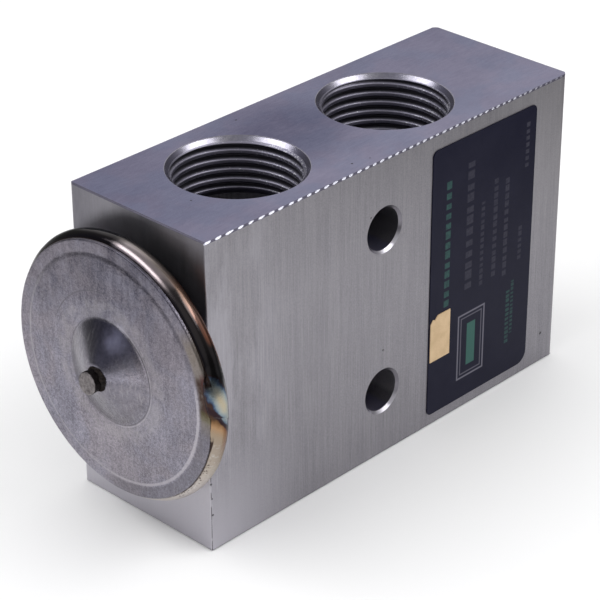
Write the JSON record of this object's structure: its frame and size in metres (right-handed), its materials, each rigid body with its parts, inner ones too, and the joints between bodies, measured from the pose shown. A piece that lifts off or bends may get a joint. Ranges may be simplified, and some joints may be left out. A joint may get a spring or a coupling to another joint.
{
  "type": "expansion valve",
  "caption": "Block type thermostatic expansion valve: drilled aluminium block with threaded ports, welded power head, sprung ball valve and recessed adjusting screw.",
  "frame": {"origin": "centre of the block's lower port face, on the face that the valve rests on", "axes": "+X along the valve axis from the power head to the adjusting screw, -Y out of the labelled face, +Z out of the upper port face"},
  "size_m": [0.0862, 0.04, 0.0485],
  "materials": {
    "block_aluminium": "extruded and machined, fine lengthwise lines",
    "head_stainless": "pressed sheet, dull grey with fine scuffs",
    "weld_bead": "heat tinted weld",
    "spring_steel": "bright drawn steel",
    "rod_steel": "ground steel",
    "turned_brass": "turned",
    "seal_rubber": "moulded",
    "label_film": "satin film",
    "tag_paper": "matt paper"
  },
  "bodies": {
    "housing": {"valve_block": "block_aluminium", "head_cover": "head_stainless", "head_base": "head_stainless", "rim_weld": "weld_bead", "charge_stub": "head_stainless", "head_seal": "seal_rubber", "diaphragm": "spring_steel", "rod_seal": "seal_rubber", "seal_clip": "spring_steel", "superheat_spring": "spring_steel", "label": "label_film", "label_tag": "tag_paper"},
    "valve_train": {"diaphragm_pad": "turned_brass", "sensing_rod": "rod_steel", "push_rod": "rod_steel", "valve_ball": "rod_steel", "ball_carrier": "turned_brass", "damper_spring": "spring_steel"},
    "adjuster_ring": {"adjuster_seal": "seal_rubber"},
    "adjuster": {"adjusting_screw": "turned_brass"}
  },
  "joints": [
    {"name": "valve_stroke", "type": "slide", "parent": "housing", "child": "valve_train", "axis": [1, 0, 0], "range_m": [0, 0.0008], "stiffness_N_per_m": 6400, "deforming": ["superheat_spring", "diaphragm"]},
    {"name": "adjuster_advance", "type": "slide", "parent": "housing", "child": "adjuster_ring", "axis": [1, 0, 0], "range_m": [-0.00075, 0.00075], "deforming": ["superheat_spring"]},
    {"name": "adjuster_turn", "type": "hinge", "parent": "adjuster_ring", "child": "adjuster", "pos_m": [0.034, 0, 0.0262], "axis": [1, 0, 0], "range_deg": [-270, 270]}
  ],
  "couplings": [
    {"joint": "adjuster_advance", "follows": "adjuster_turn", "m_per_rad": 0.000159}
  ]
}
